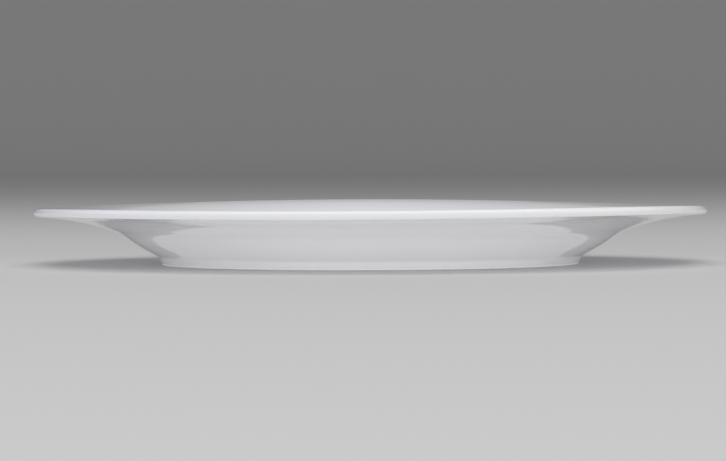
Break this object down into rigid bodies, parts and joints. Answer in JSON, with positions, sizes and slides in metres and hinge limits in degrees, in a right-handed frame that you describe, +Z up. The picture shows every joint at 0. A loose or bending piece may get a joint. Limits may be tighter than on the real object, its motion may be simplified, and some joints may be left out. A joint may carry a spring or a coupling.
{
  "type": "rimmed plate",
  "caption": "Round white glazed porcelain plate with a broad flared rim, a fully rounded lip, a shallow well and a low foot ring with a bare standing face.",
  "frame": {"origin": "centre of the foot ring's standing face, at the level of the table", "axes": "+Z up along the plate's axis of symmetry; X and Y are alike, and the pictured side faces -Y"},
  "size_m": [0.27, 0.27, 0.0234],
  "materials": {
    "biscuit_porcelain": "matte",
    "white_glaze": "gloss"
  },
  "bodies": {
    "root": {"porcelain_body": "biscuit_porcelain", "face_glaze": "white_glaze", "back_glaze": "white_glaze", "base_glaze": "white_glaze"}
  },
  "joints": []
}
